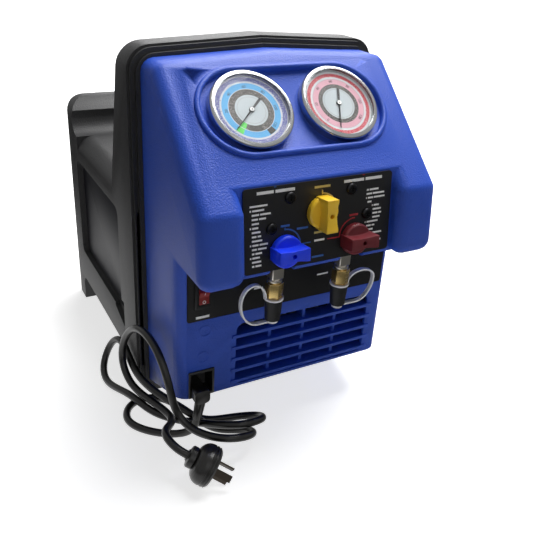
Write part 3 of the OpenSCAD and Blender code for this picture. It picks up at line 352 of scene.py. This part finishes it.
def moulded(name, colour, roughness, grain_depth):
    """Moulded plastic with a leathery grain."""
    finish = Finish(name, colour, roughness, Specular_IOR_Level=0.45)
    return finish.grain(760, grain_depth, 0.65)


def metal(name, colour, roughness):
    return Finish(name, colour, roughness, Metallic=1.0)


def colours():
    return bpy.context.scene.machine_colours


def sizes():
    return bpy.context.scene.machine_sizes


def deselect():
    if bpy.context.mode != "OBJECT":
        bpy.ops.object.mode_set(mode="OBJECT")
    bpy.ops.object.select_all(action="DESELECT")


def activate(obj):
    deselect()
    obj.select_set(True)
    bpy.context.view_layer.objects.active = obj


def edit_all(obj):
    """Opens a mesh in edit mode, with all of it selected."""
    activate(obj)
    bpy.ops.object.mode_set(mode="EDIT")
    bpy.ops.mesh.select_all(action="SELECT")


def end_edit():
    bpy.ops.object.mode_set(mode="OBJECT")


def shade(obj, angle):
    """Smooth shading, apart from edges sharper than an angle in degrees."""
    activate(obj)
    bpy.ops.object.shade_smooth_by_angle(angle=math.radians(angle))


def apply_modifier(obj, kind, **settings):
    modifier = obj.modifiers.new(kind.title(), kind)
    for name, value in settings.items():
        setattr(modifier, name, value)
    activate(obj)
    bpy.ops.object.modifier_apply(modifier=modifier.name)


def body_of(node):
    bodies = frame["record"]["behaviour"]["bodies"]
    return next(name for name, members in bodies.items() if node in members)


def paint(obj, finish):
    obj.data.materials.clear()
    obj.data.materials.append(finish.material)


def paint_node(node, finish):
    """A CAD node keeps its shape and gets a better finish."""
    for slot in NODES[node].material_slots:
        slot.material = finish.material


def dress(obj, finish, body):
    """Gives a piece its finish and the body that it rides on."""
    paint(obj, finish)
    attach(obj, body)


def merged_copy(node):
    """A copy of a CAD node with its loose triangles merged and its flat faces made whole."""
    obj = NODES[node].copy()
    obj.data = NODES[node].data.copy()
    obj.name = node + "_soft"
    obj.parent = None
    for key in list(obj.keys()):
        del obj[key]
    bpy.context.scene.collection.objects.link(obj)
    edit_all(obj)
    bpy.ops.mesh.remove_doubles(threshold=2e-6)
    bpy.ops.mesh.dissolve_limited(angle_limit=math.radians(1.0))
    end_edit()
    return obj


def soften(node, width, finish, segments=3, angle=40, smooth=42):
    """Stands a copy with rounded edges in the place of a CAD node."""
    obj = merged_copy(node)
    apply_modifier(obj, "BEVEL", width=width, segments=segments, limit_method="ANGLE",
                   angle_limit=math.radians(angle), miter_outer="MITER_ARC")
    shade(obj, smooth)
    dress(obj, finish, body_of(node))
    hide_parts(node)


def settle(obj, matrix):
    """Puts a piece's place into its mesh, so that its object sits at the origin."""
    obj.data.transform(matrix @ obj.matrix_world)
    obj.matrix_world = Matrix.Identity(4)


def join(objs, name):
    deselect()
    for obj in objs:
        obj.select_set(True)
    bpy.context.view_layer.objects.active = objs[0]
    if len(objs) > 1:
        bpy.ops.object.join()
    objs[0].name = name
    return objs[0]


def bar_mark(left, foot, right, top):
    """A flat printed bar, thin but solid."""
    middle = ((left + right) / 2 * MM, (foot + top) / 2 * MM, PRINT_T / 2)
    bpy.ops.mesh.primitive_cube_add(size=1, location=middle)
    obj = bpy.context.object
    obj.scale = ((right - left) * MM, (top - foot) * MM, PRINT_T)
    bpy.ops.object.transform_apply(location=True, rotation=False, scale=True)
    return obj


def arc_mark(centre, radius, width, start, end):
    """A flat printed arc: a thin upright face, spun about the centre from start to end in degrees."""
    bpy.ops.mesh.primitive_plane_add(size=1, location=(0, 0, 0))
    obj = bpy.context.object
    for i, vertex in enumerate(obj.data.vertices):
        side = -1 if i % 2 else 1
        vertex.co = ((radius + side * width / 2) * MM, 0, PRINT_T * (i // 2))
    edit_all(obj)
    bpy.ops.mesh.spin(steps=ARC_STEPS, angle=math.radians(start - end), center=(0, 0, 0), axis=(0, 0, 1))
    bpy.ops.mesh.select_all(action="SELECT")
    bpy.ops.mesh.remove_doubles(threshold=1e-7)
    bpy.ops.mesh.normals_make_consistent(inside=False)
    end_edit()
    place = Matrix.Translation((centre[0] * MM, centre[1] * MM, 0))
    obj.data.transform(place @ Matrix.Rotation(math.radians(start), 4, "Z"))
    return obj


def number_mark(text, tall, place, turn=0.0):
    """A plain printed number or switch mark, made a mesh before it is placed."""
    bpy.ops.object.text_add(location=(0, 0, 0))
    obj = bpy.context.object
    obj.data.body = text
    obj.data.size = tall * MM
    obj.data.align_x = "CENTER"
    obj.data.align_y = "CENTER"
    obj.data.extrude = PRINT_T / 2
    obj.data.resolution_u = 3
    activate(obj)
    bpy.ops.object.convert(target="MESH")
    obj = bpy.context.object
    spot = Matrix.Translation((place[0] * MM, place[1] * MM, PRINT_T / 2))
    obj.data.transform(spot @ Matrix.Rotation(turn, 4, "Z"))
    return obj


def printing(name, marks, matrix, finish, body=MACHINE):
    """Joins printed marks into one piece and lays it on a surface of the machine."""
    obj = join(marks, name)
    settle(obj, matrix)
    dress(obj, finish, body)


def curve_points(route, steps):
    """Points of a smooth curve that the route pulls along, the same curve as the model's own."""
    points = []
    for i in range(len(route) - 1):
        b, c = route[i], route[i + 1]
        a = route[i - 1] if i else 2 * b - c
        d = route[i + 2] if i + 2 < len(route) else 2 * c - b
        for k in range(steps):
            t = k / steps
            s = 1 - t
            points.append((s ** 3 * a + (3 * t ** 3 - 6 * t ** 2 + 4) * b
                           + (3 * s ** 3 - 6 * s ** 2 + 4) * c + t ** 3 * d) / 6)
    return points + [route[-1]]


class MACHINE_OT_camera(bpy.types.Operator):
    """Stand the camera where the photograph was taken from"""

    bl_idname = "machine.camera"
    bl_label = "Camera"

    def execute(self, context):
        azimuth, elevation, roll = map(math.radians, (CAMERA_AZIMUTH, CAMERA_ELEVATION, CAMERA_ROLL))
        back = Vector((math.sin(azimuth) * math.cos(elevation),
                       -math.cos(azimuth) * math.cos(elevation), math.sin(elevation)))
        level = Vector((math.cos(azimuth), math.sin(azimuth), 0))
        upright = back.cross(level)
        right = level * math.cos(roll) + upright * math.sin(roll)
        up = upright * math.cos(roll) - level * math.sin(roll)
        data = bpy.data.cameras.new("photo_camera")
        camera = bpy.data.objects.new("photo_camera", data)
        context.scene.collection.objects.link(camera)
        matrix = Matrix((right, up, back)).transposed().to_4x4()
        matrix.translation = CAMERA_PLACE
        camera.matrix_world = matrix
        data.lens = CAMERA_LENS
        data.sensor_width = CAMERA_SENSOR
        data.shift_x, data.shift_y = CAMERA_SHIFT
        data.clip_start = 0.01
        context.scene.camera = camera
        return {"FINISHED"}


class MACHINE_OT_mains_cord(bpy.types.Operator):
    """Lay the mains cord along the model's route"""

    bl_idname = "machine.mains_cord"
    bl_label = "Mains cord"

    def execute(self, context):
        route = [Vector(p) * MM for p in [CORD_EXIT] + CORD_ROUTE + [PLUG_BACK_END]]
        points = curve_points(route, sizes().cord_steps)
        data = bpy.data.curves.new("mains_cord_lay", "CURVE")
        data.dimensions = "3D"
        data.bevel_depth = sizes().cord_diameter / 2
        data.bevel_resolution = 5
        data.use_fill_caps = True
        spline = data.splines.new("POLY")
        spline.points.add(len(points) - 1)
        for spot, point in zip(spline.points, points):
            spot.co = (*point, 1)
        spline.use_smooth = True
        obj = bpy.data.objects.new("mains_cord_lay", data)
        context.scene.collection.objects.link(obj)
        vinyl = Finish("cord_vinyl", (0.012, 0.011, 0.01), 0.3).grain(700, 0.1 * MM, 0.2)
        dress(obj, vinyl, MACHINE)
        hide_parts("mains_cord")
        length = sum((b - a).length for a, b in zip(points, points[1:]))
        return {"FINISHED"}


class MACHINE_OT_plug(bpy.types.Operator):
    """Finish the plug, its pins and the connector"""

    bl_idname = "machine.plug"
    bl_label = "Plug and connector"

    def execute(self, context):
        vinyl = Finish("plug_vinyl", (0.014, 0.013, 0.012), 0.28).grain(600, 0.1 * MM, 0.25)
        paint_node("plug_body", vinyl)
        soften("cord_connector", 1.2 * MM, vinyl)
        paint_node("plug_pins", metal("plug_pin_metal", (0.06, 0.05, 0.04), 0.4))
        return {"FINISHED"}


class MACHINE_OT_shells(bpy.types.Operator):
    """Round and grain the black half shells and the handle"""

    bl_idname = "machine.shells"
    bl_label = "Shells"

    def execute(self, context):
        black = moulded("shell_black", colours().shell, 0.5, 0.7 * MM)
        for node in ("left_shell", "right_shell"):
            soften(node, sizes().shell_edge, black)
        soften("carry_handle", 1.0 * MM, black, angle=50)
        self.side_plate()
        return {"FINISHED"}

    def side_plate(self):
        """A thin blank film plate in the left side's recess: a sheet with round corners, thickened."""
        bpy.ops.mesh.primitive_plane_add(size=1)
        plate = bpy.context.object
        plate.name = "left_side_plate"
        plate.scale = (*SIDE_PLATE_SIZE, 1)
        bpy.ops.object.transform_apply(location=False, rotation=False, scale=True)
        edit_all(plate)
        bpy.ops.mesh.bevel(offset=7 * MM, segments=6, affect="VERTICES")
        end_edit()
        apply_modifier(plate, "SOLIDIFY", thickness=0.8 * MM, offset=1.0)
        apply_modifier(plate, "BEVEL", width=0.25 * MM, segments=2, limit_method="ANGLE")
        shade(plate, 40)
        settle(plate, SIDE)
        film = Finish("side_film", (0.005, 0.005, 0.011), 0.4, Specular_IOR_Level=0.2)
        dress(plate, film, MACHINE)


class MACHINE_OT_fascia(bpy.types.Operator):
    """Round and grain the blue fascia"""

    bl_idname = "machine.fascia"
    bl_label = "Fascia"

    def execute(self, context):
        blue = moulded("fascia_blue", colours().fascia, 0.46, 0.6 * MM)
        soften("front_fascia", sizes().fascia_edge, blue, angle=45, smooth=40)
        return {"FINISHED"}


class MACHINE_OT_control_panel(bpy.types.Operator):
    """Finish the panel film and lay its printed marks"""

    bl_idname = "machine.control_panel"
    bl_label = "Control panel"

    def execute(self, context):
        film = Finish("panel_film", colours().film, 0.36).grain(1600, 0.05 * MM, 0.2)
        paint_node("control_panel", film)
        paint_node("connection_strip", film)
        paint_node("panel_screws", metal("screw_black", (0.03, 0.03, 0.032), 0.35))
        self.white_print()
        self.valve_print()
        return {"FINISHED"}

    def white_print(self):
        """Two columns of plain bars under headings, a bar between the ports, and bars on the strip."""
        white = Finish("print_white", colours().print_white, 0.5)
        marks = []
        for rows in (LEFT_ROWS, RIGHT_ROWS):
            for i, row in enumerate(rows):
                foot = FIRST_ROW_V - i * ROW_PITCH - ROW_TALL / 2
                marks += [bar_mark(left, foot, right, foot + ROW_TALL) for left, right in row]
        marks += [bar_mark(*bar) for bar in (*HEADINGS, PORTS_BAR)]
        printing("panel_white_print", marks, PANEL, white)
        printing("strip_white_print", [bar_mark(*bar) for bar in STRIP_BARS], FACE, white)

    def valve_print(self):
        """Coloured sweeps that show each valve's quarter turn, with short bars."""
        for colour, tint, arc, bars in VALVE_PRINT:
            marks = [arc_mark(*arc)] + [bar_mark(*bar) for bar in bars]
            printing(f"panel_{colour}_print", marks, PANEL, Finish("print_" + colour, tint, 0.5))


class MACHINE_OT_gauges(bpy.types.Operator):
    """Finish both gauges: chrome, glass, coloured rings, scales and numbers"""

    bl_idname = "machine.gauges"
    bl_label = "Gauges"

    def execute(self, context):
        chrome = metal("bezel_chrome", (0.52, 0.53, 0.54), 0.15)
        glass = Finish("gauge_glass", (1, 1, 1), 0.02, IOR=1.12, Transmission_Weight=1.0)
        pointer = Finish("pointer_black", (0.01, 0.01, 0.012), 0.4)
        case = Finish("gauge_case_black", (0.03, 0.03, 0.03), 0.5)
        for side, name in ((-1, "low_gauge"), (1, "high_gauge")):
            paint_node(name + "_bezel", chrome)
            paint_node(name + "_lens", glass)
            paint_node(name + "_pointer", pointer)
            paint_node(name + "_case", case)
            self.face(side, name)
            self.scale(side, name)
            self.hub(side, name)
        self.patches("low_gauge")
        return {"FINISHED"}

    def on_gauge(self, side, w):
        """A gauge's own frame, w above the slope."""
        return SLOPE @ Matrix.Translation((side * GAUGE_X, 0, w))

    def face(self, side, name):
        """Coloured rings by the distance from the dial's middle, some of them speckled."""
        dial = Finish(name + "_face", (0.8, 0.8, 0.79), 0.5)
        centre = self.on_gauge(side, 0).translation
        radius = dial.length(dial.offset(tuple(centre))) * (1 / MM)
        speckle = dial.noise(1100, 1.0) > 0.57
        pale, white = (0.4, 0.45, 0.47, 1), (0.5, 0.52, 0.54, 1)
        grey = dial.mix(speckle, (0.05, 0.046, 0.042, 1), (0.18, 0.17, 0.155, 1))
        # Each ring's inner radius in millimetres and its colour
        if side < 0:
            violet = dial.mix(speckle, (0.13, 0.14, 0.35, 1), (0.46, 0.48, 0.57, 1))
            rings = [(12.4, (0.3, 0.3, 0.3, 1)), (12.8, pale), (14.6, grey), (20, white),
                     (20.5, (0.08, 0.33, 0.6, 1)), (26, white), (27.6, violet), (31.8, white)]
        else:
            red = dial.mix(speckle, (0.45, 0.05, 0.07, 1), (0.52, 0.2, 0.21, 1))
            rings = [(14, (0.25, 0.25, 0.24, 1)), (14.4, pale), (15.6, grey),
                     (19.6, (0.56, 0.3, 0.36, 1)), (24.7, (0.3, 0.25, 0.25, 1)), (25, white),
                     (27.1, red), (30.4, white)]
        colour = pale
        for start, tint in rings:
            colour = dial.mix(radius > start, colour, tint)
        dial.feed("Base Color", colour)
        paint_node(name + "_dial", dial)

    def scale(self, side, name):
        """Ticks and plain numbers around the dial."""
        ink = Finish(name + "_ink", (0.03, 0.05, 0.2) if side < 0 else (0.4, 0.02, 0.03), 0.5)
        black = Finish(name + "_numbers", (0.02, 0.02, 0.025), 0.5)
        ticks, numbers = [], []
        for i in range(TICKS + 1):
            inner = TICK_INNER if i % 5 else LONG_TICK_INNER
            tick = bar_mark(inner, -TICK_WIDE / 2, TICK_OUTER, TICK_WIDE / 2)
            tick.data.transform(Matrix.Rotation(SCALE_START - SCALE_SWEEP * i / TICKS, 4, "Z"))
            ticks.append(tick)
        for value in range(0, SCALE_END + 1, 20):
            angle = SCALE_START - SCALE_SWEEP * value / SCALE_END
            place = (NUMBER_RADIUS * math.cos(angle), NUMBER_RADIUS * math.sin(angle))
            numbers.append(number_mark(str(value), NUMBER_TALL, place, angle - math.pi / 2))
        on_dial = self.on_gauge(side, DIAL_TOP_W)
        printing(name + "_ticks", ticks, on_dial, ink)
        printing(name + "_numerals", numbers, on_dial, black)

    def hub(self, side, name):
        """A white cap with a dark middle on the pointer's pivot."""
        for part, radius, tall, foot, colour in HUB:
            bpy.ops.mesh.primitive_cylinder_add(vertices=32, radius=radius * MM, depth=tall * MM)
            obj = bpy.context.object
            apply_modifier(obj, "BEVEL", width=0.09 * MM, segments=2, limit_method="ANGLE")
            shade(obj, 40)
            settle(obj, self.on_gauge(side, (foot + tall / 2) * MM))
            obj.name = name + "_hub_" + part
            pointer = name + "_pointer"
            dress(obj, Finish(obj.name, colour, 0.35), body_of(pointer))

    def patches(self, name):
        """Blocks of colour in the low dial's rings."""
        on_dial = self.on_gauge(-1, DIAL_TOP_W)
        for colour, tint, arcs in LOW_PATCHES:
            marks = [arc_mark((0, 0), *arc) for arc in arcs]
            ink = Finish("print_" + colour, tint, 0.5)
            printing(f"{name}_{colour}_print", marks, on_dial, ink)


class MACHINE_OT_valve_knobs(bpy.types.Operator):
    """Round and colour the three valve knobs"""

    bl_idname = "machine.valve_knobs"
    bl_label = "Valve knobs"

    def execute(self, context):
        plated = metal("stem_nickel", (0.6, 0.59, 0.56), 0.3)
        for valve, colour in (("inlet", colours().low_side), ("outlet", colours().high_side),
                              ("mode", colours().mode)):
            knob = valve + "_knob"
            plastic = Finish(knob + "_plastic", colour, 0.36).grain(900, 0.1 * MM, 0.3)
            soften(knob, sizes().knob_edge, plastic, angle=30, smooth=40)
            paint_node(knob + "_screw", metal(knob + "_screw_steel", (0.08, 0.08, 0.08), 0.4))
            paint_node(valve + "_stem", plated)
        return {"FINISHED"}


class MACHINE_OT_ports(bpy.types.Operator):
    """Finish the two flare ports, their caps and straps"""

    bl_idname = "machine.ports"
    bl_label = "Ports"

    def execute(self, context):
        nickel = metal("adapter_nickel", (0.82, 0.78, 0.7), 0.28)
        brass = metal("flare_brass", (0.86, 0.63, 0.25), 0.26)
        rubber = Finish("cap_rubber", (0.014, 0.014, 0.015), 0.5).grain(800, 0.1 * MM, 0.25)
        milky = Finish("strap_milky", (0.95, 0.96, 0.97), 0.25)
        for side, port in ((-1, "inlet"), (1, "outlet")):
            soften(port + "_adapter", 0.4 * MM, nickel, segments=2)
            soften(port + "_flare", 0.4 * MM, brass, segments=2, angle=35)
            paint_node(port + "_cap", rubber)
            self.strap(side * PORT_X, port, milky)
        return {"FINISHED"}

    def strap(self, x, port, finish):
        """A smooth strap that stretches between the fitting and its cap."""
        strap = merged_copy(port + "_strap")
        shade(strap, 35)
        paint(strap, finish)
        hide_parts(port + "_strap")
        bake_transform(strap)


class MACHINE_OT_switch_and_inlet(bpy.types.Operator):
    """Finish the rocker switch and the mains inlet"""

    bl_idname = "machine.switch_and_inlet"
    bl_label = "Switch and inlet"

    def execute(self, context):
        black = Finish("switch_black", (0.012, 0.012, 0.013), 0.35)
        soften("rocker_housing", 0.5 * MM, black, segments=2)
        soften("mains_inlet", 0.6 * MM, black, segments=2)
        red = Finish("rocker_red", (0.26, 0.008, 0.008), 0.35)
        soften("rocker_button", 0.4 * MM, red, segments=2, angle=25)
        self.marks()
        return {"FINISHED"}

    def marks(self):
        """A bar on the rocker's upper face and a ring on its lower one."""
        white = Finish("rocker_marks", colours().print_white, 0.4)
        for text, up in (("I", 1), ("O", -1)):
            face = ROCKER @ Matrix.Rotation(math.radians(90 + up * ROCKER_FACE_LEAN), 4, "X")
            mark = number_mark(text, ROCKER_MARK_TALL, (0, up * ROCKER_MARK_V))
            printing("rocker_mark_" + text, [mark], face, white,
                     body_of("rocker_button"))


class MACHINE_OT_inside(bpy.types.Operator):
    """Finish what is inside the housing"""

    bl_idname = "machine.inside"
    bl_label = "Inside"

    def execute(self, context):
        cast = Finish("cast_alloy", (0.5, 0.51, 0.52), 0.5, Metallic=1.0).grain(500, 0.2 * MM, 0.5)
        copper = metal("drawn_copper", (0.6, 0.27, 0.13), 0.35)
        steel = metal("zinc_sheet", (0.5, 0.51, 0.52), 0.4)
        enamel = Finish("motor_enamel", (0.03, 0.03, 0.033), 0.45)
        plastic = Finish("fan_plastic", (0.05, 0.05, 0.052), 0.5)
        for finish, nodes in (
                (cast, ("valve_manifold", "condenser", "crankcase", "cylinder_heads")),
                (copper, ("suction_line", "discharge_line")),
                (steel, ("base_plate", "fan_shaft")),
                (enamel, ("motor", "run_capacitor")),
                (plastic, ("fan_shroud", "fan_blade"))):
            for node in nodes:
                paint_node(node, finish)
        return {"FINISHED"}


class MACHINE_OT_stage(bpy.types.Operator):
    """Lay the pale floor and hang soft studio light"""

    bl_idname = "machine.stage"
    bl_label = "Stage"

    def execute(self, context):
        scene = context.scene
        scene.view_settings.view_transform = "Standard"
        deselect()
        bpy.ops.mesh.primitive_plane_add(size=FLOOR_SIZE, location=(0, 0, -FLOOR_DROP))
        floor = bpy.context.object
        floor.name = "studio_floor"
        paint(floor, self.floor_finish())
        self.world(scene)
        for lamp in LAMPS:
            self.lamp(*lamp)
        return {"FINISHED"}

    def floor_finish(self):
        """A pale floor that is white to the camera, and dimmer in mirrors away from the left side."""
        pale = Finish("studio_floor", (0.72, 0.72, 0.72), 0.9, Specular_IOR_Level=0.1)
        far = self.distance(pale, (0, 0, 0), 0.3, 0.9)
        aside = self.distance(pale, (-0.17, 0.05, 0), 0.06, 0.24, (1, 0.35, 1))
        dark, near, full, beyond = (
            pale.node("Emission", Color=(1, 1, 1, 1), Strength=glow) for glow in (0.08, 0.72, 1, 1.02))
        white = pale.node("MixShader", i0=far, i1=near, i2=beyond)
        mirrored = pale.node("MixShader", i0=aside, i1=full, i2=dark)
        seen = (pale.node("LightPath", output="Is Camera Ray")
                + pale.node("LightPath", output="Is Transmission Ray"))
        glossy = pale.node("LightPath", output="Is Glossy Ray")
        shader = Wire(pale.tree, pale.shader.outputs[0])
        direct = pale.node("AddShader", i0=shader, i1=pale.node("MixShader", i0=seen, i2=white))
        total = pale.node("MixShader", i0=glossy, i1=direct, i2=mirrored)
        plug(pale.tree, pale.tree.nodes["Material Output"].inputs["Surface"], total)
        return pale

    def distance(self, finish, centre, near, far, weights=(1, 1, 1)):
        """How far a place is from a centre: 0 up to the near circle, 1 from the far one."""
        offset = finish.offset(centre)
        weighed = finish.node("VectorMath", {"operation": "MULTIPLY"}, i0=offset, i1=weights)
        return finish.node("MapRange", {"interpolation_type": "SMOOTHSTEP"},
                           Value=finish.length(weighed), From_Min=near, From_Max=far)

    def world(self, scene):
        """White to the camera and through glass, dimmer in mirrors, and faint as a light."""
        world = bpy.data.worlds.new("studio_world")
        scene.world = world
        world.use_nodes = True
        sky = Nodes(world.node_tree)
        ground = sky.tree.nodes["Background"]
        ground.inputs["Color"].default_value = (1, 1, 1, 1)
        seen = (sky.node("LightPath", output="Is Camera Ray")
                + sky.node("LightPath", output="Is Transmission Ray"))
        mirrored = sky.node("LightPath", output="Is Glossy Ray") * WORLD_IN_MIRRORS
        strength = seen.math("MINIMUM", seen + mirrored + WORLD_FILL, 1.0)
        plug(sky.tree, ground.inputs["Strength"], strength)

    def lamp(self, name, place, size, power):
        data = bpy.data.lights.new(name, "AREA")
        data.size = size
        data.energy = power
        obj = bpy.data.objects.new(name, data)
        bpy.context.scene.collection.objects.link(obj)
        obj.location = place
        aim = LAMP_AIM - Vector(place)
        obj.rotation_euler = aim.to_track_quat("-Z", "Y").to_euler()


OPERATORS = (
    MACHINE_OT_camera,
    MACHINE_OT_mains_cord,
    MACHINE_OT_plug,
    MACHINE_OT_shells,
    MACHINE_OT_fascia,
    MACHINE_OT_control_panel,
    MACHINE_OT_gauges,
    MACHINE_OT_valve_knobs,
    MACHINE_OT_ports,
    MACHINE_OT_switch_and_inlet,
    MACHINE_OT_inside,
    MACHINE_OT_stage,
)


class MACHINE_PT_finishes(bpy.types.Panel):
    """Sizes, colours and steps of the recovery machine's finishes"""

    bl_idname = "MACHINE_PT_finishes"
    bl_label = "Recovery machine"
    bl_space_type = "VIEW_3D"
    bl_region_type = "UI"
    bl_category = "Machine"

    def draw(self, context):
        layout = self.layout
        for group in (context.scene.machine_sizes, context.scene.machine_colours):
            for name in group.__annotations__:
                layout.prop(group, name)
        for operator in OPERATORS:
            layout.operator(operator.bl_idname)


CLASSES = (MachineColours, MachineSizes, *OPERATORS, MACHINE_PT_finishes)


def register():
    for cls in CLASSES:
        bpy.utils.register_class(cls)
    bpy.types.Scene.machine_colours = PointerProperty(type=MachineColours)
    bpy.types.Scene.machine_sizes = PointerProperty(type=MachineSizes)


def unregister():
    del bpy.types.Scene.machine_sizes
    del bpy.types.Scene.machine_colours
    for cls in reversed(CLASSES):
        bpy.utils.unregister_class(cls)


def main():
    register()
    for operator in OPERATORS:
        group, step = operator.bl_idname.split(".")
        getattr(getattr(bpy.ops, group), step)()
    deselect()


if __name__ == "__main__":
    main()
